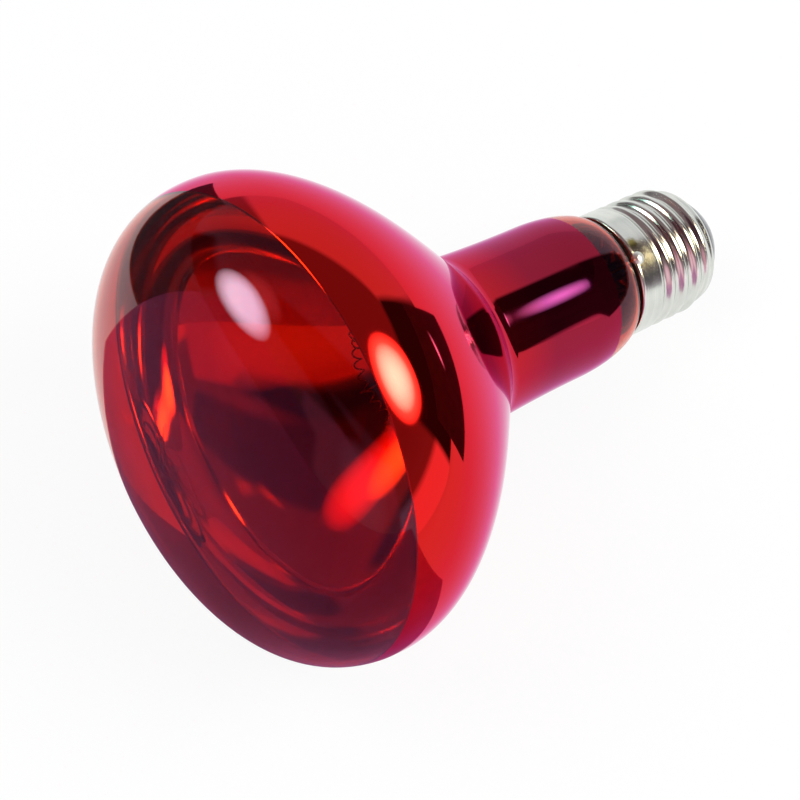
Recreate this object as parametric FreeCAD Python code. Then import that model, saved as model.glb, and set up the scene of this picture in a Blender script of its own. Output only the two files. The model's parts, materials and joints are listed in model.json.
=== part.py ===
import FreeCAD, Part
import math
import os

os.makedirs("parts", exist_ok=True)
Vector = FreeCAD.Vector

# An infrared reflector lamp with a screw cap, in millimetres.
# Each piece is drawn upright, round the lamp's own axis: height 0 is the cap's rim,
# the face is up, and +X points at the solder on the cap's rim.
# At the end the whole lamp is laid on its side, as it comes to rest on a table.

# Bulb glass: outside sizes, with heights above the cap's rim
bulb_diameter = 95.0
widest_height = 79.1
face_height = 103.6
face_fullness = 0.67
neck_diameter_at_cap = 32.4
neck_diameter_at_bowl = 33.8
shoulder_height = 14.9
shoulder_fullness = 0.5523
neck_top_height = 36.0
waist_radius = 5.9
bowl_flare_angle = 46.5
bowl_fullness_at_waist = 0.33
bowl_fullness_at_widest = 0.29
glass_wall = 0.9

# Bulb glass inside the cap
seal_diameter = 22.4
seal_depth = 9.9
rim_gap = 0.6
throat_radius = 1.0

# Mirror film on the inside of the neck and bowl, and a little past the widest band
film_thickness = 0.12
film_clearance = 0.03
film_bottom_height = 8.4
film_past_widest = 6.6

# Screw cap: sheet metal with a rolled thread
cap_diameter = 26.2
cap_sheet = 0.3
collar_length = 5.0
thread_pitch = 3.629
thread_arc_radius = 1.025
thread_length = 15.2
crest_depth_at_solder = 7.87
thread_start_run = 2.2
thread_end_run = 2.8
cap_end_radius = 1.3
cap_lip = 0.5
shell_strips = 60
thread_points_a_pitch = 18

# Glass insulator and centre contact
insulator_overhang = 5.3
insulator_end_diameter = 11.4
insulator_inside_height = 2.0
insulator_bulge = 0.9
insulator_clearance = 0.03
contact_diameter = 10.4
contact_sheet = 0.4
eyelet_diameter = 3.0
eyelet_wall = 0.35
eyelet_length = 2.6
eyelet_clearance = 0.05
centre_solder_diameter = 6.4
centre_solder_height = 1.1
centre_solder_flat = 2.6
centre_solder_fullness = 0.65

# Basing cement in the collar, below the rim
cement_recess = 0.45
cement_dish = 0.175
cement_height = 4.1
cement_clearance = 0.02

# Stem: flare, press, exhaust tube, and rod with a button
flare_tube_diameter = 10.4
flare_wall = 0.9
flare_bend_height = -0.6
flare_fullness_at_bend = 0.62
flare_fullness_at_rim = 0.55
flare_rim_width = 1.2
press_base_height = 5.4
press_bottom_height = 13.4
press_top_height = 21.4
press_width = 11.2
press_thickness = 3.6
press_corner_radius = 1.6
press_corner_limit = 0.45
press_root_length = 2.0
press_root_swell = 0.75
press_root_overlap = 1.0
press_root_pinch = 0.52
stem_cavity_top = 9.9
stem_cavity_clearance = 0.3
exhaust_diameter = 4.0
exhaust_wall = 0.8
exhaust_tip_depth = 15.1
exhaust_tip_length = 3.5
exhaust_tip_fullness = 0.6
exhaust_tip_point = 0.35
exhaust_tip_wall = 1.2
exhaust_bore_fullness = 0.3
exhaust_bore_point = 0.5
exhaust_hole_height = 15.4
exhaust_hole_diameter = 2.0
rod_diameter = 3.2
rod_top_height = 45.9
button_diameter = 6.0
button_height = 4.0
button_fullness = 0.55
button_point = 0.55

# Wires, from the cap to the filament
lead_spacing = 6.4
outer_lead_diameter = 0.36
seal_wire_diameter = 0.5
inner_lead_diameter = 0.7
seal_wire_below_press = 1.5
seal_wire_cover = 2.5
wire_overrun = 1.0
lead_straight = 7.0
lead_bend = 4.0
lead_overrun = 1.2
side_lead_radius = 11.6
side_lead_drop = 2.5
side_lead_bend = 0.8
side_lead_over_rim = 0.25
side_lead_hook = 1.0
side_lead_hook_bend = 0.3
side_lead_clearance = 0.07
centre_lead_turn_depth = 13.6
centre_lead_axis_depth = 18.1
centre_lead_bend = 2.0
centre_lead_bury = 0.6

# Solder on the rim
side_solder_radius = 1.45
side_solder_height = 0.9
side_solder_depth = 1.2
side_solder_overlap = 0.1

# Filament: a coil bent into an open ring, held by hooks
filament_rise = 7.5
filament_ring_diameter = 22.0
filament_opening = 50.0
filament_turns = 24
filament_points_a_turn = 12
coil_diameter = 1.7
filament_wire_diameter = 0.3
filament_end_gap = 0.1
support_count = 4
support_wire_diameter = 0.3
support_clearance = 0.2
support_bend = 0.8
support_bury = 2.0
support_drop = 1.6

# How the lamp lies: the side solder's turn from the top
solder_turn = -20.0

# Fineness of the work
curve_steps = 24
slope_step = 0.001
sewing_gap = 0.001
outline_steps = 400
halvings = 50
upright_at_least = 0.9

widest_radius = bulb_diameter / 2
film_top_height = widest_height + film_past_widest
seal_radius = seal_diameter / 2
cap_radius = cap_diameter / 2
cap_inside_radius = cap_radius - cap_sheet
thread_depth = 2 * thread_arc_radius - math.sqrt(
    (2 * thread_arc_radius) ** 2 - (thread_pitch / 2) ** 2
)
thread_end_depth = collar_length + thread_length
root_radius = cap_radius - thread_depth
cap_end_depth = thread_end_depth + cap_end_radius
lip_radius = root_radius - cap_end_radius - cap_lip
insulator_end_depth = cap_end_depth + insulator_overhang
contact_face_depth = insulator_end_depth + contact_sheet
lamp_tip_depth = contact_face_depth + centre_solder_height
seal_wire_bottom = press_bottom_height - seal_wire_below_press
seal_wire_top = press_top_height - seal_wire_cover
lead_splay_height = press_top_height + lead_straight
filament_height = rod_top_height + filament_rise
lead_offset = lead_spacing / 2
ring_radius = filament_ring_diameter / 2


def at(radius, height):
    """A point of a section, by its distance from the axis and its height above the cap's rim."""
    return Vector(radius, 0, height)


def line(start, end):
    return Part.LineSegment(start, end)


def on_circle(centre, radius, angle):
    turn = math.radians(angle)
    return centre + at(radius * math.cos(turn), radius * math.sin(turn))


def arc(centre, radius, first, last):
    """An arc of a section. Its angles are in degrees, from outwards towards up."""
    middle = (first + last) / 2
    ends = [on_circle(centre, radius, angle) for angle in (first, middle, last)]
    return Part.Arc(*ends)


def bezier(*poles):
    curve = Part.BezierCurve()
    curve.setPoles(list(poles))
    return curve


def chain(points):
    return [line(start, end) for start, end in zip(points, points[1:])]


def turned(curves):
    """The solid that a closed section makes when it turns about the lamp's axis."""
    edges = [curve.toShape() for curve in curves]
    outline = Part.Wire(Part.__sortEdges__(edges))
    return Part.Face(outline).revolve(Vector(0, 0, 0), Vector(0, 0, 1), 360)


def upright_rod(radius, bottom, top, across=0.0):
    return Part.makeCylinder(radius, top - bottom, at(across, bottom))


def bent_wire(points, bend_radii, wire_radius):
    """A round wire along straight runs, with a bend at each corner."""
    path = []
    start = points[0]
    corners = zip(points, points[1:], points[2:], bend_radii)
    for before, corner, after, bend_radius in corners:
        back = (before - corner).normalize()
        ahead = (after - corner).normalize()
        half_turn = (math.pi - back.getAngle(ahead)) / 2
        reach = bend_radius * math.tan(half_turn)
        inward = (back + ahead).normalize() * bend_radius * (1 / math.cos(half_turn) - 1)
        bend_start = corner + back * reach
        bend_end = corner + ahead * reach
        path.append(line(start, bend_start).toShape())
        path.append(Part.Arc(bend_start, corner + inward, bend_end).toShape())
        start = bend_end
    path.append(line(start, points[-1]).toShape())
    section = Part.Wire(Part.Circle(points[0], points[1] - points[0], wire_radius).toShape())
    return Part.Wire(path).makePipeShell([section], True, False)


# Bulb
def bulb_outline():
    """The outside of the glass in section, from its seal in the cap to the middle of the face."""
    seal = line(at(seal_radius, -seal_depth), at(seal_radius, rim_gap - throat_radius))
    throat_centre = at(seal_radius + throat_radius, rim_gap - throat_radius)
    throat = arc(throat_centre, throat_radius, 180, 90)

    neck_radius = neck_diameter_at_cap / 2
    shoulder_width = neck_radius - throat_centre.x
    shoulder = bezier(
        at(throat_centre.x, rim_gap),
        at(throat_centre.x + shoulder_width * shoulder_fullness, rim_gap),
        at(neck_radius, shoulder_height - (shoulder_height - rim_gap) * shoulder_fullness),
        at(neck_radius, shoulder_height),
    )

    half_neck = (neck_top_height - shoulder_height) / 2
    neck_top = at(neck_diameter_at_bowl / 2, neck_top_height)
    neck = bezier(
        at(neck_radius, shoulder_height), at(neck_radius, shoulder_height + half_neck), neck_top
    )

    lean = math.degrees(math.atan2(neck_top.x - neck_radius, half_neck))
    waist_centre = on_circle(neck_top, waist_radius, -lean)
    waist = arc(waist_centre, waist_radius, 180 - lean, 180 - bowl_flare_angle)

    bowl_start = on_circle(waist_centre, waist_radius, 180 - bowl_flare_angle)
    bowl_end = at(widest_radius, widest_height)
    chord = bowl_start.distanceToPoint(bowl_end)
    flare = on_circle(bowl_start, chord * bowl_fullness_at_waist, 90 - bowl_flare_angle)
    rise = bowl_end - at(0, chord * bowl_fullness_at_widest)
    bowl = bezier(bowl_start, flare, rise, bowl_end)

    face_depth = face_height - widest_height
    face = bezier(
        bowl_end,
        at(widest_radius, widest_height + face_depth * face_fullness),
        at(widest_radius * face_fullness, face_height),
        at(0, face_height),
    )
    return [seal, throat, shoulder, neck, waist, bowl, face]


def sunk(curve, depth):
    """The curve that lies this deep under a curve of the outline, measured square to it."""
    first = curve.FirstParameter
    last = curve.LastParameter

    def inward_point(share):
        parameter = first + (last - first) * share
        along = curve.tangent(parameter)[0]
        return curve.value(parameter) + at(-along.z, along.x) * depth

    if isinstance(curve, Part.LineSegment):
        return line(inward_point(0), inward_point(1))
    if isinstance(curve, Part.ArcOfCircle):
        return Part.Arc(inward_point(0), inward_point(0.5), inward_point(1))
    shares = [step / curve_steps for step in range(curve_steps + 1)]
    spline = Part.BSplineCurve()
    spline.interpolate(Points=[inward_point(share) for share in shares], Parameters=shares)
    return spline


def bulb_layer(outline, outer_depth, inner_depth):
    """The part of the bulb's wall between two depths under its outside."""
    outside = [sunk(curve, outer_depth) for curve in outline]
    inside = [sunk(curve, inner_depth) for curve in outline]
    first_edge = line(outside[0].StartPoint, inside[0].StartPoint)
    last_edge = line(outside[-1].EndPoint, inside[-1].EndPoint)
    return turned(outside + [last_edge] + inside + [first_edge])


def make_glass_envelope():
    return bulb_layer(bulb_outline(), 0, glass_wall)


def cut_at(curve, height):
    """Where a rising curve of the outline passes this height, as a parameter of the curve."""
    low = curve.FirstParameter
    high = curve.LastParameter
    for _ in range(halvings):
        middle = (low + high) / 2
        if curve.value(middle).z < height:
            low = middle
        else:
            high = middle
    return middle


def make_reflector_coating():
    outline = bulb_outline()
    shoulder, neck, waist, bowl, face = outline[2:]
    shoulder.segment(cut_at(shoulder, film_bottom_height), shoulder.LastParameter)
    face.segment(face.FirstParameter, cut_at(face, film_top_height))
    depth = glass_wall + film_clearance
    return bulb_layer([shoulder, neck, waist, bowl, face], depth, depth + film_thickness)


# Cap
def thread_hollow(distance, firmness):
    """How far the wave lies below its crest, this far along the axis from the crest.
    At full firmness it is made of crest and root arcs, and at none it is a plain cosine."""
    off_crest = abs((distance / thread_pitch + 0.5) % 1.0 - 0.5) * thread_pitch
    if off_crest <= thread_pitch / 4:
        arcs = thread_arc_radius - math.sqrt(thread_arc_radius**2 - off_crest**2)
    else:
        off_root = thread_pitch / 2 - off_crest
        arcs = thread_depth - thread_arc_radius + math.sqrt(thread_arc_radius**2 - off_root**2)
    cosine = thread_depth / 2 * (1 - math.cos(2 * math.pi * distance / thread_pitch))
    return arcs * firmness + cosine * (1 - firmness)


def smooth(share):
    """A soft step from 0 to 1."""
    held = min(max(share, 0.0), 1.0)
    return held * held * (3 - 2 * held)


def thread_radius(turn, height):
    """The outside radius of the rolled thread: a right-hand wave that runs out at both ends."""
    crest_height = -crest_depth_at_solder + thread_pitch * turn / 360
    start = (-height - collar_length) / thread_start_run
    end = (thread_end_depth + height) / thread_end_run
    firmness = smooth(start - 1) * smooth(end - 1)
    hollow = thread_hollow(height - crest_height, firmness) * smooth(start)
    return root_radius + (thread_depth - hollow) * smooth(end)


def shell_point(turn, distance, depth):
    """A point of the threaded stretch, this far down from the rim and this deep under its outside."""
    before = at(thread_radius(turn, -distance + slope_step), -distance + slope_step)
    after = at(thread_radius(turn, -distance - slope_step), -distance - slope_step)
    along = (after - before).normalize()
    return at(thread_radius(turn, -distance), -distance) + at(along.z, -along.x) * depth


def shell_curves(turn, depth):
    """The sheet's section at one turn: collar, thread, bend at the end, and lip."""
    collar_end = at(cap_radius - depth, -collar_length)
    thread_end = at(root_radius - depth, -thread_end_depth)
    count = math.ceil(thread_length / thread_pitch * thread_points_a_pitch)
    distances = [collar_length + thread_length * step / count for step in range(count + 1)]
    inner_points = [shell_point(turn, distance, depth) for distance in distances[1:-1]]
    thread = Part.BSplineCurve()
    thread.interpolate(Points=[collar_end] + inner_points + [thread_end], Parameters=distances)
    bend_centre = at(root_radius - cap_end_radius, -thread_end_depth)
    bend = arc(bend_centre, cap_end_radius - depth, 0, -90)
    bend_end = on_circle(bend_centre, cap_end_radius - depth, -90)
    collar = line(at(collar_end.x, 0), collar_end)
    lip = line(bend_end, at(lip_radius, bend_end.z))
    edges = [curve.toShape() for curve in (collar, thread, bend, lip)]
    for edge in edges:
        edge.rotate(Vector(0, 0, 0), Vector(0, 0, 1), turn)
    return edges


def make_cap_shell():
    """The rolled sheet, in narrow strips from its rim to its lip that follow the thread."""
    sections = []
    for strip in range(shell_strips):
        turn = 360 * strip / shell_strips
        outside = shell_curves(turn, 0)
        inside = shell_curves(turn, cap_sheet)
        rim = line(inside[0].firstVertex(True).Point, outside[0].firstVertex(True).Point)
        lip_end = line(outside[-1].lastVertex(True).Point, inside[-1].lastVertex(True).Point)
        sections.append([rim.toShape()] + outside + [lip_end.toShape()] + inside)
    faces = []
    for section, neighbour in zip(sections, sections[1:] + sections[:1]):
        faces += [Part.makeRuledSurface(edge, beside) for edge, beside in zip(section, neighbour)]
    sheet = Part.Compound(faces)
    sheet.sewShape(sewing_gap)
    shell = Part.Solid(sheet.Shells[0])
    if shell.Volume < 0:
        shell.reverse()
    return shell


def make_cap_insulator():
    lip_top = -cap_end_depth + cap_sheet + insulator_clearance
    lip_bottom = -cap_end_depth - insulator_clearance
    throat = lip_radius - insulator_clearance
    seat_radius = root_radius - cap_end_radius
    end_radius = insulator_end_diameter / 2
    hole_radius = eyelet_diameter / 2 + eyelet_clearance
    inside_top = lip_top + insulator_inside_height
    upper = chain(
        [
            at(hole_radius, -insulator_end_depth),
            at(hole_radius, inside_top),
            at(seat_radius, inside_top),
            at(seat_radius, lip_top),
            at(throat, lip_top),
            at(throat, lip_bottom),
            at(seat_radius, lip_bottom),
        ]
    )
    bulge = bezier(
        at(seat_radius, lip_bottom),
        at(seat_radius, lip_bottom - insulator_bulge),
        at(end_radius + insulator_bulge, -insulator_end_depth),
        at(end_radius, -insulator_end_depth),
    )
    end = line(at(end_radius, -insulator_end_depth), at(hole_radius, -insulator_end_depth))
    return turned(upper + [bulge, end])


def make_centre_contact():
    eyelet_radius = eyelet_diameter / 2
    eyelet_bore = eyelet_radius - eyelet_wall
    plate_radius = contact_diameter / 2
    edge_centre = at(plate_radius - contact_sheet, -insulator_end_depth)
    outline = chain(
        [
            edge_centre,
            at(eyelet_radius, -insulator_end_depth),
            at(eyelet_radius, -insulator_end_depth + eyelet_length),
            at(eyelet_bore, -insulator_end_depth + eyelet_length),
            at(eyelet_bore, -contact_face_depth),
            at(edge_centre.x, -contact_face_depth),
        ]
    )
    edge = arc(edge_centre, contact_sheet, -90, 0)
    rest = line(at(plate_radius, -insulator_end_depth), edge_centre)
    return turned(outline + [edge, rest])


def make_centre_solder(lead):
    bore = eyelet_diameter / 2 - eyelet_wall
    spread = centre_solder_diameter / 2
    flat = centre_solder_flat / 2
    dome = bezier(
        at(spread, -contact_face_depth),
        at(flat + centre_solder_fullness * (spread - flat), -lamp_tip_depth),
        at(flat, -lamp_tip_depth),
    )
    outline = chain(
        [
            at(flat, -lamp_tip_depth),
            at(0, -lamp_tip_depth),
            at(0, -insulator_end_depth),
            at(bore, -insulator_end_depth),
            at(bore, -contact_face_depth),
            at(spread, -contact_face_depth),
        ]
    )
    return turned(outline + [dome]).cut(lead)


def make_basing_cement(lead):
    bottom = -cement_recess - cement_height
    outer = cap_inside_radius - cement_clearance
    dish = Part.Arc(
        at(outer, -cement_recess),
        at((outer + seal_radius) / 2, -cement_recess - cement_dish),
        at(seal_radius, -cement_recess),
    )
    sides = chain(
        [
            at(seal_radius, -cement_recess),
            at(seal_radius, bottom),
            at(outer, bottom),
            at(outer, -cement_recess),
        ]
    )
    return turned(sides + [dish]).cut(lead)


def make_side_solder(lead):
    """A drop of solder that holds the lead on the rim and on the collar just below it."""
    sunk_middle = cap_radius + side_solder_height - side_solder_radius
    drop = Part.makeSphere(side_solder_radius, at(sunk_middle, -side_solder_depth))
    collar = upright_rod(cap_radius, -collar_length, 0)
    inner_edge = upright_rod(cap_inside_radius - side_solder_overlap, 0, 2 * side_solder_radius)
    return drop.cut(collar).cut(inner_edge).cut(lead)


# Stem
def make_stem_flare():
    half_wall = flare_wall / 2
    tube_radius = flare_tube_diameter / 2
    mid_radius = tube_radius - half_wall
    rim_middle = -seal_depth - half_wall
    rim_start = seal_radius - flare_rim_width
    trumpet = bezier(
        at(mid_radius, flare_bend_height),
        at(mid_radius, flare_bend_height + flare_fullness_at_bend * rim_middle),
        at(rim_start - flare_fullness_at_rim * (rim_start - mid_radius), rim_middle),
        at(rim_start, rim_middle),
    )
    middle = [
        line(at(mid_radius, press_base_height), at(mid_radius, flare_bend_height)),
        trumpet,
        line(at(rim_start, rim_middle), at(seal_radius, rim_middle)),
    ]
    inner = [sunk(curve, -half_wall) for curve in middle]
    outer = [sunk(curve, half_wall) for curve in middle]
    ends = [
        line(inner[0].StartPoint, outer[0].StartPoint),
        line(inner[-1].EndPoint, outer[-1].EndPoint),
    ]
    flare = turned(inner + outer + ends)
    return flare.fuse(make_press()).removeSplitter()


def oval(half_width, half_thickness, height):
    long_end = Vector(half_width, 0, height)
    short_end = Vector(0, half_thickness, height)
    return Part.Wire(Part.Ellipse(long_end, short_end, Vector(0, 0, height)).toShape())


def ring(radius, height):
    return Part.Wire(Part.Circle(at(0, height), Vector(0, 0, 1), radius).toShape())


def is_upright(edge):
    return abs(edge.tangentAt(edge.FirstParameter).z) > upright_at_least


def make_press():
    """The pinched glass that seals the wires, with the flare's hollow below it and its vent."""
    tube_radius = flare_tube_diameter / 2
    half_width = press_width / 2
    swell_height = press_bottom_height - press_root_length
    pinch_height = press_bottom_height + press_root_overlap
    root = Part.makeLoft(
        [
            ring(tube_radius, press_base_height),
            oval(half_width, press_thickness * press_root_swell, swell_height),
            oval(half_width, press_thickness * press_root_pinch, pinch_height),
        ],
        True,
    )
    pad = Part.makeBox(
        press_width,
        press_thickness,
        press_top_height - press_bottom_height,
        Vector(-half_width, -press_thickness / 2, press_bottom_height),
    )
    corners = [edge for edge in pad.Edges if is_upright(edge)]
    corner_radius = min(press_corner_radius, press_thickness * press_corner_limit)
    pad = pad.makeFillet(corner_radius, corners)
    hollow_radius = tube_radius - flare_wall
    hollow_thickness = exhaust_diameter / 2 + stem_cavity_clearance
    hollow = Part.makeLoft(
        [
            ring(hollow_radius, press_base_height),
            oval(hollow_radius, hollow_thickness, stem_cavity_top),
        ],
        True,
    )
    vent_radius = exhaust_hole_diameter / 2
    vent = upright_rod(exhaust_diameter / 2 - exhaust_wall, stem_cavity_top, exhaust_hole_height)
    side_vent = Part.makeCylinder(
        vent_radius, press_thickness, at(0, exhaust_hole_height), Vector(0, -1, 0)
    )
    press = root.fuse(pad).cut(hollow).cut(vent).cut(side_vent)
    for side in (-1, 1):
        for wire in wire_stack(side * lead_offset):
            press = press.cut(wire)
    return press


def wire_stack(across):
    """The three stretches of wire in the press, one above the other."""
    return [
        upright_rod(
            outer_lead_diameter / 2, stem_cavity_top - wire_overrun, seal_wire_bottom, across
        ),
        upright_rod(seal_wire_diameter / 2, seal_wire_bottom, seal_wire_top, across),
        upright_rod(
            inner_lead_diameter / 2, seal_wire_top, press_top_height + wire_overrun, across
        ),
    ]


def make_exhaust_tube():
    outer = exhaust_diameter / 2
    bore = outer - exhaust_wall
    taper = -exhaust_tip_depth + exhaust_tip_length
    bore_end = -exhaust_tip_depth + exhaust_tip_wall
    tip = bezier(
        at(outer, taper),
        at(outer, taper - exhaust_tip_fullness * exhaust_tip_length),
        at(exhaust_tip_point * outer, -exhaust_tip_depth),
        at(0, -exhaust_tip_depth),
    )
    inner_tip = bezier(
        at(0, bore_end),
        at(exhaust_bore_point * bore, bore_end),
        at(bore, taper - exhaust_bore_fullness * exhaust_tip_length),
        at(bore, taper),
    )
    sides = [
        line(at(outer, stem_cavity_top), at(outer, taper)),
        line(at(0, -exhaust_tip_depth), at(0, bore_end)),
        line(at(bore, taper), at(bore, stem_cavity_top)),
        line(at(bore, stem_cavity_top), at(outer, stem_cavity_top)),
    ]
    return turned(sides + [tip, inner_tip])


def make_stem_rod(supports):
    rod_radius = rod_diameter / 2
    button_radius = button_diameter / 2
    half_button = button_height / 2
    button_middle = rod_top_height + half_button
    button_top = rod_top_height + button_height
    lower = bezier(
        at(rod_radius, rod_top_height),
        at(button_point * button_radius, rod_top_height),
        at(button_radius, button_middle - button_fullness * half_button),
        at(button_radius, button_middle),
    )
    upper = bezier(
        at(button_radius, button_middle),
        at(button_radius, button_middle + button_fullness * half_button),
        at(button_point * button_radius, button_top),
        at(0, button_top),
    )
    rest = chain(
        [
            at(0, button_top),
            at(0, press_top_height),
            at(rod_radius, press_top_height),
            at(rod_radius, rod_top_height),
        ]
    )
    rod = turned(rest + [lower, upper])
    for support in supports:
        rod = rod.cut(support)
    return rod


# Wires
def make_centre_lead():
    radius = outer_lead_diameter / 2
    points = [
        at(-lead_offset, seal_wire_bottom),
        at(-lead_offset, -centre_lead_turn_depth),
        at(0, -centre_lead_axis_depth),
        at(0, -contact_face_depth - centre_lead_bury),
    ]
    return bent_wire(points, [centre_lead_bend] * 2, radius)


def make_side_lead():
    """The lead that runs down the stem, back up between glass and cap, and over the rim."""
    radius = outer_lead_diameter / 2
    turn_depth = seal_depth + side_lead_drop
    hook_radius = cap_radius + radius + side_lead_clearance
    points = [
        at(lead_offset, seal_wire_bottom),
        at(lead_offset, -turn_depth),
        at(side_lead_radius, -turn_depth),
        at(side_lead_radius, side_lead_over_rim),
        at(hook_radius, side_lead_over_rim),
        at(hook_radius, -side_lead_hook),
    ]
    bends = [side_lead_bend] * 2 + [side_lead_hook_bend] * 2
    return bent_wire(points, bends, radius)


def ring_point(angle, height):
    turn = math.radians(angle)
    return Vector(ring_radius * math.cos(turn), ring_radius * math.sin(turn), height)


def filament_ends():
    """The ring's two ends, as angles. Its opening faces -Y."""
    half_opening = filament_opening / 2
    return -90 + half_opening, 270 - half_opening


def make_inner_lead(side):
    radius = inner_lead_diameter / 2
    gap = radius + filament_wire_diameter / 2 + filament_end_gap
    step_back = math.degrees(gap / ring_radius)
    first, last = filament_ends()
    angle = first - step_back if side > 0 else last + step_back
    points = [
        at(side * lead_offset, seal_wire_top),
        at(side * lead_offset, lead_splay_height),
        ring_point(angle, filament_height - coil_diameter),
        ring_point(angle, filament_height + lead_overrun),
    ]
    return bent_wire(points, [lead_bend] * 2, radius)


def make_filament():
    first, last = filament_ends()
    coil_radius = coil_diameter / 2
    steps = filament_turns * filament_points_a_turn
    points = []
    for step in range(steps + 1):
        around = math.radians(first + (last - first) * step / steps)
        coil_turn = 2 * math.pi * step / filament_points_a_turn
        out = ring_radius + coil_radius * math.cos(coil_turn)
        rise = coil_radius * math.sin(coil_turn)
        points.append(
            Vector(out * math.cos(around), out * math.sin(around), filament_height + rise)
        )
    spline = Part.BSplineCurve()
    spline.interpolate(points)
    path = Part.Wire(spline.toShape())
    start_direction = spline.tangent(spline.FirstParameter)[0]
    circle = Part.Circle(points[0], start_direction, filament_wire_diameter / 2)
    return path.makePipeShell([Part.Wire(circle.toShape())], True, True)


def make_filament_supports():
    """Hooks of bare wire from the button, each round the coil with a small clearance."""
    radius = support_wire_diameter / 2
    reach = (coil_diameter + filament_wire_diameter) / 2 + support_clearance + radius
    button_middle = rod_top_height + button_height / 2
    points = [
        at(button_diameter / 2 - support_bury, button_middle),
        at(ring_radius - support_drop, filament_height - reach),
        at(ring_radius + reach, filament_height - reach),
        at(ring_radius + reach, filament_height + reach),
        at(ring_radius - reach, filament_height + reach),
    ]
    hook = bent_wire(points, [support_bend] * 3, radius)
    first, last = filament_ends()
    hooks = []
    for index in range(support_count):
        placed = hook.copy()
        angle = first + (last - first) * (index + 1) / (support_count + 1)
        placed.rotate(Vector(0, 0, 0), Vector(0, 0, 1), angle)
        hooks.append(placed)
    return hooks


def make_seal_wire(side):
    return wire_stack(side * lead_offset)[1]


# Lying on a table
def lie_angle():
    """How far the axis tips up towards the face when the bowl and the thread rest on a table."""
    bowl = bulb_outline()[5]
    underside = 180 - solder_turn
    shares = [step / outline_steps for step in range(outline_steps + 1)]
    bowl_points = [bowl.value(share) for share in shares]
    cap_points = []
    for share in shares:
        height = -thread_end_depth * share
        radius = thread_radius(underside, height) if -height > collar_length else cap_radius
        cap_points.append(at(radius, height))

    def lowest(points, angle):
        return min(point.z * math.sin(angle) - point.x * math.cos(angle) for point in points)

    low = 0.0
    high = math.pi / 4
    for _ in range(halvings):
        middle = (low + high) / 2
        if lowest(bowl_points, middle) < lowest(cap_points, middle):
            low = middle
        else:
            high = middle
    return math.degrees(middle)


def make_pieces():
    centre_lead = make_centre_lead()
    side_lead = make_side_lead()
    supports = make_filament_supports()
    pieces = {
        "glass_envelope": make_glass_envelope(),
        "reflector_coating": make_reflector_coating(),
        "stem_flare": make_stem_flare(),
        "exhaust_tube": make_exhaust_tube(),
        "stem_rod": make_stem_rod(supports),
        "filament": make_filament(),
        "inner_lead_1": make_inner_lead(1),
        "inner_lead_2": make_inner_lead(-1),
        "seal_wire_1": make_seal_wire(1),
        "seal_wire_2": make_seal_wire(-1),
        "outer_lead_side": side_lead,
        "outer_lead_centre": centre_lead,
        "basing_cement": make_basing_cement(side_lead),
        "cap_shell": make_cap_shell(),
        "cap_insulator": make_cap_insulator(),
        "centre_contact": make_centre_contact(),
        "centre_solder": make_centre_solder(centre_lead),
        "side_solder": make_side_solder(side_lead),
    }
    for index, support in enumerate(supports, start=1):
        pieces[f"filament_support_{index}"] = support
    return pieces


def laid_down(pieces):
    """Turn, tip and lower the lamp so that its lowest points are on the table, at its middle."""
    spin = FreeCAD.Rotation(Vector(0, 0, 1), solder_turn)
    tip = FreeCAD.Rotation(Vector(0, 1, 0), lie_angle() - 90)
    turned_pose = FreeCAD.Placement(Vector(0, 0, 0), tip.multiply(spin))
    outside = ("glass_envelope", "cap_shell", "centre_solder")
    hull = Part.Compound([pieces[name] for name in outside])
    hull.Placement = turned_pose
    box = hull.optimalBoundingBox(False, False)
    shift = Vector(-(box.XMin + box.XMax) / 2, 0, -box.ZMin)
    return FreeCAD.Placement(shift, turned_pose.Rotation)


pieces = make_pieces()
resting = laid_down(pieces)
for name, shape in pieces.items():
    shape.Placement = resting.multiply(shape.Placement)
    shape.exportStep(f"parts/{name}.step")

print("axis tips up by", round(lie_angle(), 3), "degrees")
print("centre contact at", resting.multVec(at(0, -lamp_tip_depth)))
print("middle of the thread at", resting.multVec(at(0, -collar_length - thread_length / 2)))
print("towards the contact is", resting.Rotation.multVec(Vector(0, 0, -1)))
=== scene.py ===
import json
import math

import bpy
from mathutils import Matrix, Vector


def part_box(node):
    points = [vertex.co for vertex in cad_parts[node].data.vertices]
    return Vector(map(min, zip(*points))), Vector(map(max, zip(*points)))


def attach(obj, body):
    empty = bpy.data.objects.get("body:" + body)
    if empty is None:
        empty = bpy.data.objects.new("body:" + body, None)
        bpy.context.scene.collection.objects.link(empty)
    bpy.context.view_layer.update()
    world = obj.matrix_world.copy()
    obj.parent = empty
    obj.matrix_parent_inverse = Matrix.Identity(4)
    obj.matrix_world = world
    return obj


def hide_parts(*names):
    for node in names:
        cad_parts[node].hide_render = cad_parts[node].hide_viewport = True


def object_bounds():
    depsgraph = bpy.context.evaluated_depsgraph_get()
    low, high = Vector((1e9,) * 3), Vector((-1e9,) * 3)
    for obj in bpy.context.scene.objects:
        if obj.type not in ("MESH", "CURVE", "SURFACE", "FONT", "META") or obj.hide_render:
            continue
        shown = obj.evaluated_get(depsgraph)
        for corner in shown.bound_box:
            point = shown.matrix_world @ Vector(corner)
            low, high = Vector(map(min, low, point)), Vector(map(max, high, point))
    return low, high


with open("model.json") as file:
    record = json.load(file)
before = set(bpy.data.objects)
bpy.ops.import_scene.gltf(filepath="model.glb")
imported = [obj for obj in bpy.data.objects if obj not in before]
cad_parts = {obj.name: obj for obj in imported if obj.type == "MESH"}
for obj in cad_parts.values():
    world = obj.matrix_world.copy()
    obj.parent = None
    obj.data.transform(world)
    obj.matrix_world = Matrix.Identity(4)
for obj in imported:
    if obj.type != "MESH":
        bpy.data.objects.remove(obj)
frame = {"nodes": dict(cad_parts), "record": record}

cad_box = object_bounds()
object_middle = (cad_box[0] + cad_box[1]) / 2

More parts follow.
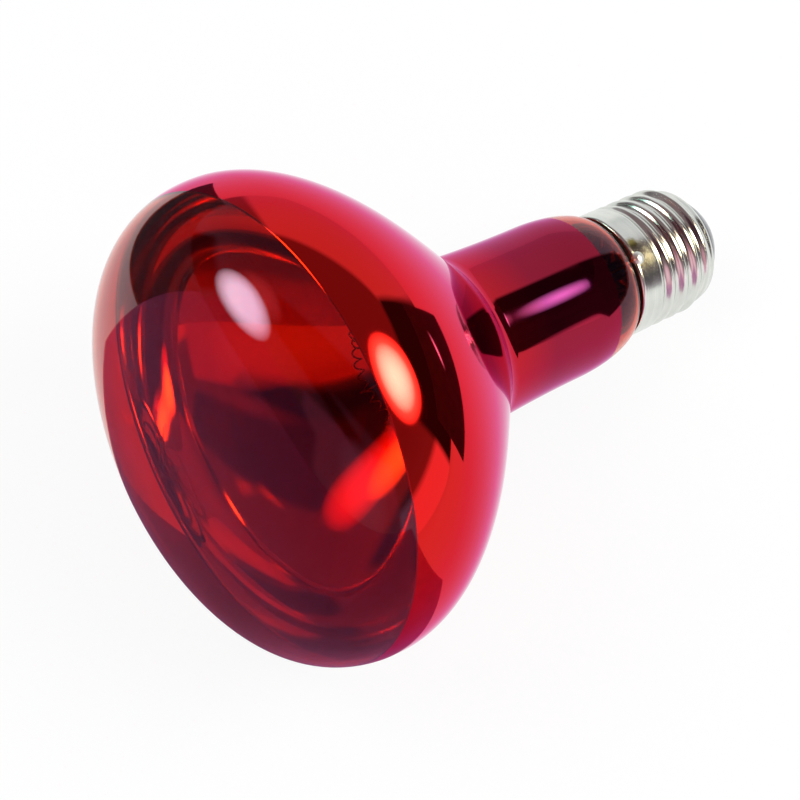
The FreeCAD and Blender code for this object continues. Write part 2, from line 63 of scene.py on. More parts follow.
# The lamp's own frame, in metres: its origin is the middle of the cap's rim, +Z is towards
# the face, and +X points at the solder on the rim.
MM = 0.001
lamp_tip_depth = 28.3 * MM
contact = {mount["name"]: mount for mount in frame["record"]["mounts"]}["centre_contact"]
towards_face = -Vector(contact["axis"]).normalized()
rim_middle = Vector(contact["pos_m"]) + towards_face * lamp_tip_depth


def middle_of(node):
    low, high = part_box(node)
    return (low + high) / 2


out_to_solder = middle_of("side_solder") - rim_middle
towards_solder = (out_to_solder - towards_face * out_to_solder.dot(towards_face)).normalized()
lamp_axes = Matrix((towards_solder, towards_face.cross(towards_solder), towards_face)).transposed()
lamp_place = Matrix.Translation(rim_middle) @ lamp_axes.to_4x4()

# Bulb glass, in millimetres: outside sizes, with heights above the cap's rim
widest_radius = 47.5
widest_height = 79.1
face_height = 103.6
face_fullness = 0.67
neck_radius_at_cap = 16.2
neck_radius_at_bowl = 16.9
shoulder_height = 14.9
shoulder_fullness = 0.5523
neck_top_height = 36.0
waist_radius = 5.9
bowl_flare_angle = 46.5
bowl_fullness_at_waist = 0.33
bowl_fullness_at_widest = 0.29
glass_wall = 0.9
seal_radius = 11.2
seal_depth = 9.9
rim_gap = 0.6
throat_radius = 1.0
film_bottom_height = 8.4
film_top_height = 85.7
film_clearance = 0.06
film_thickness = 0.1

# The film looks thinner below the first height and full above the second, in millimetres
film_thins_below = 26
film_full_above = 46

# Screw cap, in millimetres
cap_radius = 13.1
cap_sheet = 0.3
collar_length = 5.0
thread_pitch = 3.629
thread_arc_radius = 1.025
thread_length = 15.2
crest_depth_at_solder = 7.87
thread_start_run = 2.2
thread_end_run = 2.8
cap_end_radius = 1.3
cap_lip = 0.5
thread_depth = 2 * thread_arc_radius - math.sqrt(
    (2 * thread_arc_radius) ** 2 - (thread_pitch / 2) ** 2
)
root_radius = cap_radius - thread_depth
thread_end_depth = collar_length + thread_length

# Marks on the cap, in millimetres in the lamp's frame: the middle of a painted glow round the
# solder, and a flux stain beside it
solder_glow_place = (13.1, 0.2, -2.6)
stain_place = (12.7, 3.1, -1.7)

# Fineness of the meshes: steps round the axis and along each run of a section
bulb_segments = 168
throat_steps = 8
shoulder_steps = 28
neck_steps = 14
waist_steps = 16
bowl_steps = 56
face_steps = 62
cap_segments = 240
collar_steps = 6
thread_steps = 170
bend_steps = 10
smallest_radius = 1e-6


# Sections, as (radius, height) pairs in millimetres
def bezier(poles, steps):
    """Points on the Bezier curve that these poles pull."""
    order = len(poles) - 1
    points = []
    for step in range(steps + 1):
        share = step / steps
        radius = height = 0.0
        for index, (pole_radius, pole_height) in enumerate(poles):
            weight = math.comb(order, index) * share**index * (1 - share) ** (order - index)
            radius += weight * pole_radius
            height += weight * pole_height
        points.append((radius, height))
    return points


def on_circle(centre, radius, angle):
    turn = math.radians(angle)
    return centre[0] + radius * math.cos(turn), centre[1] + radius * math.sin(turn)


def arc(centre, radius, first, last, steps):
    """Points on an arc between two angles, in degrees."""
    angles = [first + (last - first) * step / steps for step in range(steps + 1)]
    return [on_circle(centre, radius, angle) for angle in angles]


def joined(*runs):
    """Runs that each start where the last one ends, as one run."""
    points = []
    for run in runs:
        points += run if not points else run[1:]
    return points


def sunk(section, depth):
    """The section moved this deep: towards the axis where it runs up, outwards where down."""
    moved = []
    last = len(section) - 1
    for index, (radius, height) in enumerate(section):
        before = section[max(index - 1, 0)]
        after = section[min(index + 1, last)]
        along_radius = after[0] - before[0]
        along_height = after[1] - before[1]
        length = math.hypot(along_radius, along_height)
        moved_radius = radius - depth * along_height / length
        moved.append((max(moved_radius, 0.0), height + depth * along_radius / length))
    return moved


def throat_and_shoulder():
    """The glass as it leaves the cap: a small throat, then the round shoulder of the neck."""
    seal = [(seal_radius, -seal_depth), (seal_radius, rim_gap - throat_radius)]
    throat_centre = (seal_radius + throat_radius, rim_gap - throat_radius)
    throat = arc(throat_centre, throat_radius, 180, 90, throat_steps)
    shoulder_width = neck_radius_at_cap - throat_centre[0]
    shoulder_rise = shoulder_height - rim_gap
    shoulder_poles = [
        (throat_centre[0], rim_gap),
        (throat_centre[0] + shoulder_width * shoulder_fullness, rim_gap),
        (neck_radius_at_cap, shoulder_height - shoulder_rise * shoulder_fullness),
        (neck_radius_at_cap, shoulder_height),
    ]
    return joined(seal, throat, bezier(shoulder_poles, shoulder_steps))


def neck_and_waist():
    """The neck, which widens a little, and the arc that turns it out into the bowl."""
    half_neck = (neck_top_height - shoulder_height) / 2
    neck_top = (neck_radius_at_bowl, neck_top_height)
    neck_poles = [
        (neck_radius_at_cap, shoulder_height),
        (neck_radius_at_cap, shoulder_height + half_neck),
        neck_top,
    ]
    lean = math.degrees(math.atan2(neck_radius_at_bowl - neck_radius_at_cap, half_neck))
    waist_centre = on_circle(neck_top, waist_radius, -lean)
    waist = arc(waist_centre, waist_radius, 180 - lean, 180 - bowl_flare_angle, waist_steps)
    return joined(bezier(neck_poles, neck_steps), waist)


def bowl_and_face(bowl_start):
    """The bowl up to its widest band, and the domed face to its middle."""
    chord = math.dist(bowl_start, (widest_radius, widest_height))
    bowl_poles = [
        bowl_start,
        on_circle(bowl_start, chord * bowl_fullness_at_waist, 90 - bowl_flare_angle),
        (widest_radius, widest_height - chord * bowl_fullness_at_widest),
        (widest_radius, widest_height),
    ]
    face_depth = face_height - widest_height
    face_poles = [
        (widest_radius, widest_height),
        (widest_radius, widest_height + face_depth * face_fullness),
        (widest_radius * face_fullness, face_height),
        (0.0, face_height),
    ]
    return joined(bezier(bowl_poles, bowl_steps), bezier(face_poles, face_steps))


def bulb_outline():
    """The outside of the glass from its seal in the cap to the middle of the face."""
    neck = neck_and_waist()
    return joined(throat_and_shoulder(), neck, bowl_and_face(neck[-1]))


# Meshes, built in the lamp's frame and then set in the shared one
def placed_mesh(name, vertices, faces):
    mesh = bpy.data.meshes.new(name)
    mesh.from_pydata(vertices, [], faces)
    mesh.transform(lamp_place)
    mesh.update()
    mesh.shade_smooth()
    piece = bpy.data.objects.new(name, mesh)
    bpy.context.scene.collection.objects.link(piece)
    return piece


def lathe(name, section):
    """A closed section turned about the lamp's axis. A point on the axis becomes one vertex."""
    vertices = []
    rows = []
    for radius, height in section:
        if radius < smallest_radius:
            rows.append([len(vertices)] * bulb_segments)
            vertices.append((0.0, 0.0, height * MM))
            continue
        rows.append(list(range(len(vertices), len(vertices) + bulb_segments)))
        for step in range(bulb_segments):
            turn = 2 * math.pi * step / bulb_segments
            out = radius * MM
            vertices.append((out * math.cos(turn), out * math.sin(turn), height * MM))
    faces = []
    for lower, upper in zip(rows, rows[1:] + rows[:1]):
        for step in range(bulb_segments):
            beside = (step + 1) % bulb_segments
            corners = [lower[step], lower[beside], upper[beside], upper[step]]
            faces.append(list(dict.fromkeys(corners)))
    return placed_mesh(name, vertices, [face for face in faces if len(face) > 2])


def mirrored_rows(outline):
    """The first and last row of the outline that the mirror film backs."""
    rows = range(len(outline))
    first = min(rows, key=lambda row: abs(outline[row][1] - film_bottom_height))
    last = min(rows, key=lambda row: abs(outline[row][1] - film_top_height))
    return first, last


def make_bulb():
    """The blown bulb: its outside up to the face's middle, and its inside back down."""
    outside = bulb_outline()
    first, last = mirrored_rows(outside)
    inside = sunk(outside, glass_wall)
    bulb = lathe("ruby_bulb", outside + inside[::-1])
    bulb.data.materials.append(ruby_glass())
    bulb.data.materials.append(mirrored_ruby())
    for face in bulb.data.polygons:
        if first <= face.index // bulb_segments < last:
            face.material_index = 1
    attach(bulb, "root")
    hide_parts("glass_envelope")


def make_film():
    """The mirror film, a thin closed skin just inside the glass."""
    outline = bulb_outline()
    first, last = mirrored_rows(outline)
    covered = outline[first:last + 1]
    depth = glass_wall + film_clearance
    outer = sunk(covered, depth)
    inner = sunk(covered, depth + film_thickness)
    film = lathe("mirror_film", outer + inner[::-1])
    film.data.materials.append(aluminium_film())
    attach(film, "root")
    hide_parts("reflector_coating")


# Rolled thread
def smooth(share):
    """A soft start and end between 0 and 1."""
    held = min(max(share, 0.0), 1.0)
    return held * held * (3 - 2 * held)


def thread_hollow(distance, firmness):
    """How far the wave lies below its crest: arcs at full firmness, a cosine at none."""
    off_crest = abs((distance / thread_pitch + 0.5) % 1.0 - 0.5) * thread_pitch
    if off_crest <= thread_pitch / 4:
        arcs = thread_arc_radius - math.sqrt(thread_arc_radius**2 - off_crest**2)
    else:
        off_root = thread_pitch / 2 - off_crest
        arcs = thread_depth - thread_arc_radius + math.sqrt(thread_arc_radius**2 - off_root**2)
    cosine = thread_depth / 2 * (1 - math.cos(2 * math.pi * distance / thread_pitch))
    return arcs * firmness + cosine * (1 - firmness)


def thread_radius(turn, height):
    """The outside of the shell, where the thread starts at the collar and ends at the bend."""
    crest_height = -crest_depth_at_solder + thread_pitch * turn / 360
    start = (-height - collar_length) / thread_start_run
    end = (thread_end_depth + height) / thread_end_run
    firmness = smooth(start - 1) * smooth(end - 1)
    hollow = thread_hollow(height - crest_height, firmness) * smooth(start)
    return root_radius + (thread_depth - hollow) * smooth(end)


def shell_section(turn):
    """The outside of the sheet at one turn, in degrees, from rim to lip."""
    collar = [(cap_radius, -collar_length * step / collar_steps) for step in range(collar_steps)]
    thread = []
    for step in range(thread_steps + 1):
        height = -collar_length - thread_length * step / thread_steps
        thread.append((thread_radius(turn, height), height))
    bend_centre = (root_radius - cap_end_radius, -thread_end_depth)
    bend = arc(bend_centre, cap_end_radius, 0, -90, bend_steps)
    lip = (bend[-1][0] - cap_lip, bend[-1][1])
    return collar + thread + bend[1:] + [lip]


def make_screw_shell():
    """The cap's sheet, with its outside, its inside and the edges between them."""
    vertices = []
    for step in range(cap_segments):
        turn = 360 * step / cap_segments
        angle = math.radians(turn)
        outside = shell_section(turn)
        inside = sunk(outside, -cap_sheet)
        for radius, height in outside + inside[::-1]:
            out = radius * MM
            vertices.append((out * math.cos(angle), out * math.sin(angle), height * MM))
    rows = len(vertices) // cap_segments
    faces = []
    for step in range(cap_segments):
        start = step * rows
        beside = (step + 1) % cap_segments * rows
        for row in range(rows):
            above = (row + 1) % rows
            faces.append([start + row, start + above, beside + above, beside + row])
    shell = placed_mesh("screw_shell", vertices, faces)
    shell.data.materials.append(nickel_plate())
    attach(shell, "root")
    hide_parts("cap_shell")


# Shader nodes
def principled(name, **values):
    """A material with one Principled shader. Its constant values are set on the sockets."""
    material = bpy.data.materials.new(name)
    material.use_nodes = True
    shader = material.node_tree.nodes["Principled BSDF"]
    for socket, value in values.items():
        shader.inputs[socket.replace("_", " ")].default_value = value
    return material, material.node_tree, shader


def math_node(tree, operation, *values):
    """A sum of this kind on numbers, which are floats or sockets."""
    node = tree.nodes.new("ShaderNodeMath")
    node.operation = operation
    for index, value in enumerate(values):
        if isinstance(value, float):
            node.inputs[index].default_value = value
        else:
            tree.links.new(value, node.inputs[index])
    return node.outputs["Value"]


def dot(tree, ray, axis):
    node = tree.nodes.new("ShaderNodeVectorMath")
    node.operation = "DOT_PRODUCT"
    node.inputs[1].default_value = axis
    tree.links.new(ray, node.inputs[0])
    return node.outputs["Value"]


def lamp_point(tree):
    """The place on the piece, in the lamp's frame."""
    into_lamp = lamp_place.inverted()
    place = tree.nodes.new("ShaderNodeTexCoord")
    mapping = tree.nodes.new("ShaderNodeMapping")
    mapping.inputs["Location"].default_value = into_lamp.to_translation()
    mapping.inputs["Rotation"].default_value = into_lamp.to_euler()
    tree.links.new(place.outputs["Object"], mapping.inputs["Vector"])
    return mapping.outputs["Vector"]


def lamp_height(tree):
    """The height above the cap's rim, in the lamp's frame."""
    split = tree.nodes.new("ShaderNodeSeparateXYZ")
    tree.links.new(lamp_point(tree), split.inputs["Vector"])
    return split.outputs["Z"]


def noise(tree, scale, detail=3.0, stretch=(1.0, 1.0, 1.0)):
    """Noise in the lamp's frame, in cells a metre."""
    mapping = tree.nodes.new("ShaderNodeMapping")
    mapping.inputs["Scale"].default_value = stretch
    texture = tree.nodes.new("ShaderNodeTexNoise")
    texture.inputs["Scale"].default_value = scale
    texture.inputs["Detail"].default_value = detail
    tree.links.new(lamp_point(tree), mapping.inputs["Vector"])
    tree.links.new(mapping.outputs["Vector"], texture.inputs["Vector"])
    return texture.outputs["Fac"]


def spread(tree, value, low, high, from_low=0.3, from_high=0.7):
    """The value's usual range, by default that of noise, stretched to run from low to high."""
    node = tree.nodes.new("ShaderNodeMapRange")
    node.inputs["From Min"].default_value = from_low
    node.inputs["From Max"].default_value = from_high
    node.inputs["To Min"].default_value = low
    node.inputs["To Max"].default_value = high
    tree.links.new(value, node.inputs["Value"])
    return node.outputs["Result"]


def blend_colours(tree, share, first, second):
    """A colour between two, which are colours or sockets."""
    node = tree.nodes.new("ShaderNodeMix")
    node.data_type = "RGBA"
    tree.links.new(share, node.inputs["Factor"])
    # A Mix node keeps its two colours in sockets 6 and 7, and the blended one in output 2.
    for socket, colour in ((node.inputs[6], first), (node.inputs[7], second)):
        if isinstance(colour, tuple):
            socket.default_value = (*colour, 1.0)
        else:
            tree.links.new(colour, socket)
    return node.outputs[2]


def bump(tree, shader, height, strength, distance):
    node = tree.nodes.new("ShaderNodeBump")
    node.inputs["Strength"].default_value = strength
    node.inputs["Distance"].default_value = distance
    tree.links.new(height, node.inputs["Height"])
    tree.links.new(node.outputs["Normal"], shader.inputs["Normal"])


def near_place(tree, place, inner, outer, most, raggedness, scale):
    """How near a place in the lamp's frame is, from `most` down to 0, with a ragged edge."""
    distance = tree.nodes.new("ShaderNodeVectorMath")
    distance.operation = "DISTANCE"
    distance.inputs[1].default_value = [length * MM for length in place]
    tree.links.new(lamp_point(tree), distance.inputs[0])
    cells = noise(tree, scale, detail=4.0)
    ragged = math_node(
        tree, "MULTIPLY_ADD", cells, raggedness * MM, distance.outputs["Value"]
    )
    usual = raggedness / 2
    return spread(
        tree, ragged, most, 0.0, from_low=(inner + usual) * MM, from_high=(outer + usual) * MM
    )


def mottled(name, first, second, rough, scale, bump_height=0.0, **values):
    """A finish whose colour, roughness and relief vary over small patches."""
    material, tree, shader = principled(name, **values)
    patches = noise(tree, scale)
    fine = noise(tree, scale * 4, detail=5.0)
    colour = blend_colours(tree, spread(tree, patches, 0.0, 1.0), first, second)
    tree.links.new(colour, shader.inputs["Base Color"])
    tree.links.new(spread(tree, fine, *rough), shader.inputs["Roughness"])
    if bump_height:
        bump(tree, shader, fine, strength=0.4, distance=bump_height)
    return material


# Materials
def ruby_glass():
    """The clear face and shoulder: ruby glass whose depth of colour drifts a little."""
    material, tree, shader = principled(
        "ruby_glass", Transmission_Weight=1.0, IOR=1.45, Specular_Tint=(0.8, 0.5, 0.9, 1.0)
    )
    drift = spread(tree, noise(tree, 18, detail=1.0), 0.0, 1.0)
    colour = blend_colours(tree, drift, (0.66, 0.07, 0.02), (0.76, 0.10, 0.03))
    haze = noise(tree, 400, detail=4.0)
    tree.links.new(colour, shader.inputs["Base Color"])
    tree.links.new(spread(tree, haze, 0.0, 0.03), shader.inputs["Roughness"])
    return material


def mirrored_ruby():
    """Ruby glass with the mirror film behind it, which is thinner in the neck."""
    material, tree, shader = principled(
        "mirrored_ruby", Metallic=1.0, Coat_Weight=0.45, Coat_IOR=1.3, Coat_Roughness=0.03,
        Specular_Tint=(0.9, 0.3, 0.75, 1.0),
    )
    drift = spread(tree, noise(tree, 18, detail=1.0), 0.0, 1.0)
    full = blend_colours(tree, drift, (0.66, 0.007, 0.006), (0.76, 0.010, 0.008))
    thin = blend_colours(tree, drift, (0.26, 0.004, 0.024), (0.34, 0.007, 0.036))
    backing = spread(
        tree, lamp_height(tree), 0.0, 1.0,
        from_low=film_thins_below * MM, from_high=film_full_above * MM,
    )
    colour = blend_colours(tree, backing, thin, full)
    tree.links.new(colour, shader.inputs["Base Color"])
    tree.links.new(spread(tree, noise(tree, 60), 0.04, 0.09), shader.inputs["Roughness"])
    return material


def aluminium_film():
    return mottled(
        "aluminium_film", (0.88, 0.88, 0.90), (0.93, 0.93, 0.94),
        rough=(0.03, 0.08), scale=60, Metallic=1.0,
    )


def nickel_plate():
    """Rolled nickel: fine lines round the axis, duller patches, a painted pale glow round the
    solder and a flux stain beside it.
    """
    material, tree, shader = principled("nickel_plate", Metallic=1.0)
    lines = noise(tree, 260, detail=4.0, stretch=(0.12, 0.12, 12.0))
    patches = noise(tree, 160, detail=4.0)
    dulled = spread(tree, patches, 0.0, 1.0)
    sheen = blend_colours(tree, dulled, (0.66, 0.69, 0.64), (0.80, 0.81, 0.76))
    lined = blend_colours(tree, spread(tree, lines, 0.0, 0.25), sheen, (0.48, 0.51, 0.47))
    # The pale ring round the solder is a painted glow: light painted into the nickel's colour
    halo = near_place(
        tree, solder_glow_place, inner=2.0, outer=3.6, most=0.9, raggedness=2.2, scale=900
    )
    with_painted_glow = blend_colours(tree, halo, lined, (0.84, 0.82, 0.58))
    speckle = near_place(
        tree, stain_place, inner=0.6, outer=1.6, most=0.95, raggedness=1.4, scale=2600
    )
    stained = blend_colours(tree, speckle, with_painted_glow, (0.30, 0.25, 0.06))
    tree.links.new(stained, shader.inputs["Base Color"])
    tree.links.new(spread(tree, patches, 0.15, 0.26), shader.inputs["Roughness"])
    bump(tree, shader, lines, strength=0.12, distance=0.02 * MM)
    return material


def stem_glass():
    return mottled(
        "stem_glass", (0.90, 0.94, 0.92), (0.97, 0.98, 0.97),
        rough=(0.0, 0.03), scale=120, Transmission_Weight=1.0, IOR=1.5,
    )


def tungsten_wire():
    return mottled(
        "tungsten_wire", (0.20, 0.20, 0.22), (0.34, 0.33, 0.33),
        rough=(0.3, 0.5), scale=900, bump_height=0.01 * MM, Metallic=1.0,
    )


def nickel_wire():
    return mottled(
        "nickel_wire", (0.55, 0.54, 0.50), (0.68, 0.67, 0.63),
        rough=(0.2, 0.38), scale=700, Metallic=1.0,
    )


def copper_wire():
    return mottled(
        "copper_wire", (0.60, 0.30, 0.18), (0.76, 0.44, 0.30),
        rough=(0.2, 0.4), scale=700, Metallic=1.0,
    )


# The cement is partly its own dark brown and partly painted near black as shade in the recess
# between the glass and the shell
def basing_cement():
    return mottled(
        "basing_cement", (0.022, 0.014, 0.012), (0.07, 0.045, 0.03),
        rough=(0.6, 0.9), scale=700, bump_height=0.1 * MM,
    )


def insulator_glass():
    return mottled(
        "insulator_glass", (0.020, 0.028, 0.042), (0.05, 0.062, 0.08),
        rough=(0.06, 0.2), scale=260, bump_height=0.02 * MM,
    )


def contact_brass():
    return mottled(
        "contact_brass", (0.58, 0.44, 0.20), (0.74, 0.60, 0.32),
        rough=(0.22, 0.42), scale=500, Metallic=1.0,
    )


def soft_solder():
    return mottled(
        "soft_solder", (0.66, 0.68, 0.66), (0.88, 0.89, 0.86),
        rough=(0.30, 0.50), scale=700, bump_height=0.05 * MM, Metallic=1.0,
    )


def dress(material, *nodes):
    """Give CAD pieces that keep their own form a finished material."""
    for name in nodes:
        piece = frame["nodes"][name]
        piece.data.materials.clear()
        piece.data.materials.append(material)


def dress_carried_pieces():
    supports = [f"filament_support_{index}" for index in range(1, 5)]
    dress(stem_glass(), "stem_flare", "exhaust_tube", "stem_rod")
    dress(tungsten_wire(), "filament", *supports)
    dress(nickel_wire(), "inner_lead_1", "inner_lead_2")
    dress(copper_wire(), "seal_wire_1", "seal_wire_2", "outer_lead_side", "outer_lead_centre")
    dress(basing_cement(), "basing_cement")
    dress(insulator_glass(), "cap_insulator")
    dress(contact_brass(), "centre_contact")
    dress(soft_solder(), "centre_solder", "side_solder")


# Stage, in metres. Azimuths turn from +Y towards +X and elevations rise from the floor,
# both in degrees.
floor_half_width = 2.5
floor_drop = 0.0002
floor_glow = 0.9
white = (1.0, 1.0, 1.0)
black = (0.0, 0.0, 0.0)
dark_paper = ((0.03, 0.02, 0.03), (0.05, 0.03, 0.045))
mauve_paper = ((0.36, 0.13, 0.28), (0.42, 0.15, 0.33))
card_lift = 0.001


def direction(azimuth, elevation):
    turn = math.radians(azimuth)
    rise = math.radians(elevation)
    return Vector(
        (math.sin(turn) * math.cos(rise), math.cos(turn) * math.cos(rise), math.sin(rise))
    )


def rectangle(half_length, half_width):
    """The corners of a rectangle round the origin, in its own plane."""
    return [
        (-half_length, -half_width, 0),
        (half_length, -half_width, 0),
        (half_length, half_width, 0),
        (-half_length, half_width, 0),
    ]


def flat_piece(name, corners):
    mesh = bpy.data.meshes.new(name)
    mesh.from_pydata(corners, [], [(0, 1, 2, 3)])
    piece = bpy.data.objects.new(name, mesh)
    bpy.context.scene.collection.objects.link(piece)
    return piece


def mirrored(tree, path):
    """1 for rays that metal or glass sends on."""
    return math_node(
        tree, "MAXIMUM", path.outputs["Is Glossy Ray"], path.outputs["Is Transmission Ray"]
    )


def floor_paper():
    """Pale paper that keeps a shadow, and looks white to the camera, the metal and the glass."""
    material, tree, shader = principled("floor_paper", Roughness=0.9, Specular_IOR_Level=0.0)
    grain = spread(tree, noise(tree, 900), 0.0, 1.0)
    paper = blend_colours(tree, grain, (0.86, 0.86, 0.87), (0.90, 0.90, 0.90))
    tree.links.new(paper, shader.inputs["Base Color"])
    glow = tree.nodes.new("ShaderNodeEmission")
    glow.inputs["Color"].default_value = (*white, 1.0)
    path = tree.nodes.new("ShaderNodeLightPath")
    seen = math_node(tree, "MAXIMUM", path.outputs["Is Camera Ray"], mirrored(tree, path))
    mix = tree.nodes.new("ShaderNodeMixShader")
    tree.links.new(math_node(tree, "MULTIPLY", seen, floor_glow), mix.inputs["Fac"])
    tree.links.new(shader.outputs["BSDF"], mix.inputs[1])
    tree.links.new(glow.outputs["Emission"], mix.inputs[2])
    tree.links.new(mix.outputs["Shader"], tree.nodes["Material Output"].inputs["Surface"])
    return material


def make_floor():
    floor = flat_piece("floor", rectangle(floor_half_width, floor_half_width))
    floor.location.z = -floor_drop
    floor.data.materials.append(floor_paper())


# The room that the mirror and the glass show. The directions come from tracing the photo's
# reflections back off the lamp.
key_azimuth = 127
key_elevation = 47
room_at_floor = (0.34, 0.32, 0.35)
room_overhead = (0.24, 0.17, 0.18)
overhead_rise = 0.6
plain_light = (0.55, 0.56, 0.58)
panel_softness = 0.04
panel_edge_on = 0.02
panel_facing = 0.1
# Each panel: azimuth, elevation, half width and half height as tangents, and its light
room_panels = (
    # Pale walls beyond the bowl and beyond the neck
    (50, 14, 0.62, 0.42, (0.80, 0.80, 0.82)),
    (162, -4, 0.90, 0.36, (1.25, 1.10, 1.20)),
    # The wall ahead of the face, which the inner mirror shows red, and its dimmer end
    (-130, 10, 0.75, 0.62, (0.80, 0.34, 0.44)),
    (-75, 4, 0.45, 0.40, (0.30, 0.14, 0.26)),
    # Dark bands above that wall and overhead
    (-95, 48, 0.75, 0.09, (0.02, 0.012, 0.02)),
    (-120, 68, 0.80, 0.26, (0.06, 0.02, 0.03)),
    # Dark cards on the left and behind the neck
    (-34, 3, 0.27, 0.26, (0.04, 0.02, 0.03)),
    (110, 10, 0.52, 0.50, (0.03, 0.02, 0.03)),
)
# Each round lamp: azimuth, elevation, radius and softness in degrees, and its light
room_lamps = (
    # The key lamp's warm halo and its bright middle
    (key_azimuth, key_elevation, 16, 4, (9.0, 6.0, 4.0)),
    (key_azimuth, key_elevation, 8, 7, (46.0, 46.0, 34.0)),
    # A soft patch on the wall, the lamp inside the bowl, and the pale lamp on the face
    (-136, 23, 13, 8, (1.05, 0.7, 0.8)),
    (-46, 39, 8, 5, (2.6, 0.6, 0.5)),
    (-52, 26, 10.5, 4, (13.0, 22.0, 19.0)),
)


def panel(tree, ray, azimuth, elevation, half_width, half_height):
    """1 where a ray meets a soft-edged upright panel in that direction."""
    ahead = direction(azimuth, elevation)
    right = ahead.cross(Vector((0, 0, 1))).normalized()
    up = right.cross(ahead)
    depth = dot(tree, ray, ahead)
    mask = spread(tree, depth, 0.0, 1.0, from_low=panel_edge_on, from_high=panel_facing)
    for axis, half in ((right, half_width), (up, half_height)):
        across = math_node(tree, "DIVIDE", dot(tree, ray, axis), depth)
        off_middle = math_node(tree, "ABSOLUTE", across)
        inside = spread(
            tree, off_middle, 1.0, 0.0,
            from_low=half - panel_softness, from_high=half + panel_softness,
        )
        mask = math_node(tree, "MULTIPLY", mask, inside)
    return mask


def round_lamp(tree, ray, azimuth, elevation, radius, softness):
    """1 where a ray meets a soft-edged round lamp in that direction."""
    nearness = dot(tree, ray, direction(azimuth, elevation))
    inner = math.cos(math.radians(radius - softness))
    outer = math.cos(math.radians(radius + softness))
    return spread(tree, nearness, 0.0, 1.0, from_low=outer, from_high=inner)


def make_world():
    """A dim room with bright walls, dark cards and round lamps for the mirror and the glass."""
    world = bpy.data.worlds.new("studio")
    bpy.context.scene.world = world
    world.use_nodes = True
    tree = world.node_tree
    ray = tree.nodes.new("ShaderNodeTexCoord").outputs["Generated"]
    height = dot(tree, ray, Vector((0, 0, 1)))
    rise = spread(tree, height, 0.0, 1.0, from_low=0.0, from_high=overhead_rise)
    room = blend_colours(tree, rise, room_at_floor, room_overhead)
    for *shape, light in room_panels:
        room = blend_colours(tree, panel(tree, ray, *shape), room, light)
    for *shape, light in room_lamps:
        room = blend_colours(tree, round_lamp(tree, ray, *shape), room, light)
    path = tree.nodes.new("ShaderNodeLightPath")
    lit = blend_colours(tree, mirrored(tree, path), plain_light, room)
    shown = blend_colours(tree, path.outputs["Is Camera Ray"], lit, white)
    tree.links.new(shown, tree.nodes["Background"].inputs["Color"])


# Cards and the strip lamp, which stand nearer than the room
def keep_to_reflections(piece):
    """Only the mirror and the glass see this piece, and it throws no shadow."""
    piece.visible_camera = False
    piece.visible_diffuse = False
    piece.visible_shadow = False


def make_card(name, corners, paper):
    card = flat_piece(name, corners)
    card.data.materials.append(mottled(name + "_paper", *paper, rough=(0.8, 0.95), scale=60))
    keep_to_reflections(card)


def standing_card(name, azimuth, distance, width, height, paper):
    """An upright card that faces the lamp."""
    foot = direction(azimuth, 0) * distance
    across = direction(azimuth + 90, 0) * (width / 2)
    up = Vector((0, 0, height))
    corners = [foot - across, foot + across, foot + across + up, foot - across + up]
    make_card(name, corners, paper)


def lying_card(name, first_azimuth, last_azimuth, near, far, rise, paper):
    """A card on the floor, whose far edge is propped up."""
    first = direction(first_azimuth, 0)
    last = direction(last_azimuth, 0)
    low = Vector((0, 0, card_lift))
    high = Vector((0, 0, rise))
    corners = [first * near + low, last * near + low, last * far + high, first * far + high]
    make_card(name, corners, paper)


# The strip lamp, in millimetres: the neck shows it as a streak round this height above the rim
streak_height = 17.5
streak_azimuth = 110.4
streak_elevation = 30
streak_distance = 75
streak_length = 14
streak_width = 28
streak_light = (3.0, 9.0, 14.0)
streak_softness = 0.9


def strip_glow(half_length, half_width):
    """A glow that is brightest in the middle and fades to black at the edges."""
    material, tree, shader = principled(
        "streak_strip_glow", Emission_Strength=1.0, Base_Color=(*black, 1.0)
    )
    place = tree.nodes.new("ShaderNodeTexCoord")
    mapping = tree.nodes.new("ShaderNodeMapping")
    mapping.inputs["Scale"].default_value = (1 / half_length, 1 / half_width, 0.0)
    ball = tree.nodes.new("ShaderNodeTexGradient")
    ball.gradient_type = "SPHERICAL"
    tree.links.new(place.outputs["Object"], mapping.inputs["Vector"])
    tree.links.new(mapping.outputs["Vector"], ball.inputs["Vector"])
    inwards = spread(tree, ball.outputs["Fac"], 0.0, 1.0, from_low=0.0, from_high=streak_softness)
    glow = blend_colours(tree, inwards, black, streak_light)
    tree.links.new(glow, shader.inputs["Emission Color"])
    return material


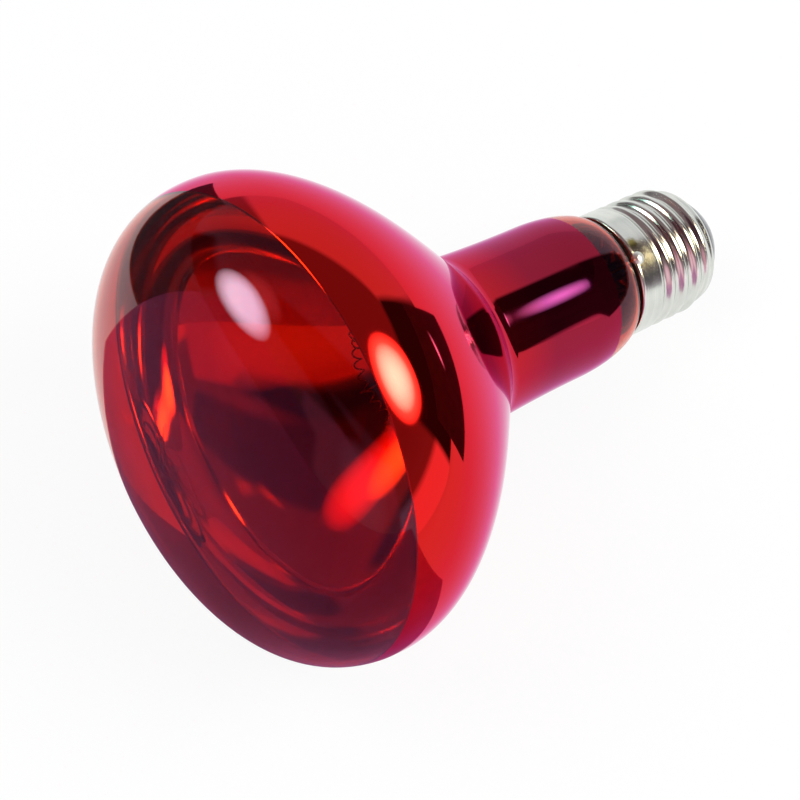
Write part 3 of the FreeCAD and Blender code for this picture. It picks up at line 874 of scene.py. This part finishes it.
def make_strip():
    """A soft strip lamp along the lamp's axis."""
    ray = direction(streak_azimuth, streak_elevation)
    out = (ray - towards_face * ray.dot(towards_face)).normalized()
    surface = rim_middle + (towards_face * streak_height + out * neck_radius_at_cap) * MM
    half_length = streak_length * MM / 2
    half_width = streak_width * MM / 2
    strip = flat_piece("streak_strip", rectangle(half_length, half_width))
    axes = Matrix((towards_face, out.cross(towards_face), out)).transposed()
    strip.matrix_world = Matrix.Translation(surface + ray * streak_distance * MM) @ axes.to_4x4()
    strip.data.materials.append(strip_glow(half_length, half_width))
    keep_to_reflections(strip)


# Lamps that light the floor and the matt pieces, in metres
lamp_distance = 1.4
lamp_diameter = 0.75


def make_lamp(name, azimuth, elevation, radiance):
    """A round soft lamp, whose power in watts is pi times its area times its radiance."""
    light = bpy.data.lights.new(name, "AREA")
    light.shape = "DISK"
    light.size = lamp_diameter
    light.energy = radiance * math.pi * math.pi * (lamp_diameter / 2) ** 2
    lamp = bpy.data.objects.new(name, light)
    away = direction(azimuth, elevation)
    lamp.location = object_middle + away * lamp_distance
    lamp.rotation_mode = "QUATERNION"
    lamp.rotation_quaternion = away.to_track_quat("Z", "Y")
    lamp.visible_camera = False
    lamp.visible_glossy = False
    lamp.visible_transmission = False
    bpy.context.scene.collection.objects.link(lamp)


# The camera, fitted to the photo's outline: where it looks from, in degrees, its lens in
# millimetres, and the rim's middle in its own frame, in metres
camera_azimuth = -34.36
camera_elevation = 67.48
focal_length = 108.63
near_clip = 0.01
rim_from_camera = Vector((0.039959, 0.024334, -0.486136))


def make_camera():
    back = direction(180 - camera_azimuth, camera_elevation)
    facing = (-back).to_track_quat("-Z", "Y")
    camera = bpy.data.objects.new("camera", bpy.data.cameras.new("camera"))
    camera.data.lens = focal_length
    camera.data.clip_start = near_clip
    camera.rotation_mode = "QUATERNION"
    camera.rotation_quaternion = facing
    camera.location = rim_middle - facing @ rim_from_camera
    bpy.context.scene.collection.objects.link(camera)
    bpy.context.scene.camera = camera


# The lamp
make_bulb()
make_film()
make_screw_shell()
dress_carried_pieces()

# Its surroundings
make_floor()
make_world()
standing_card("dark_card_beside", 110, 0.24, 0.22, 0.14, dark_paper)
lying_card("dark_card_behind", -50, 6, 0.19, 1.2, 0.16, dark_paper)
lying_card("mauve_card_ahead", -175, -50, 0.11, 1.2, 0.15, mauve_paper)
make_strip()
make_lamp("key", key_azimuth, key_elevation, 8.0)
make_lamp("fill", -52, 60, 4.0)
make_camera()
bpy.context.scene.view_settings.view_transform = "Standard"
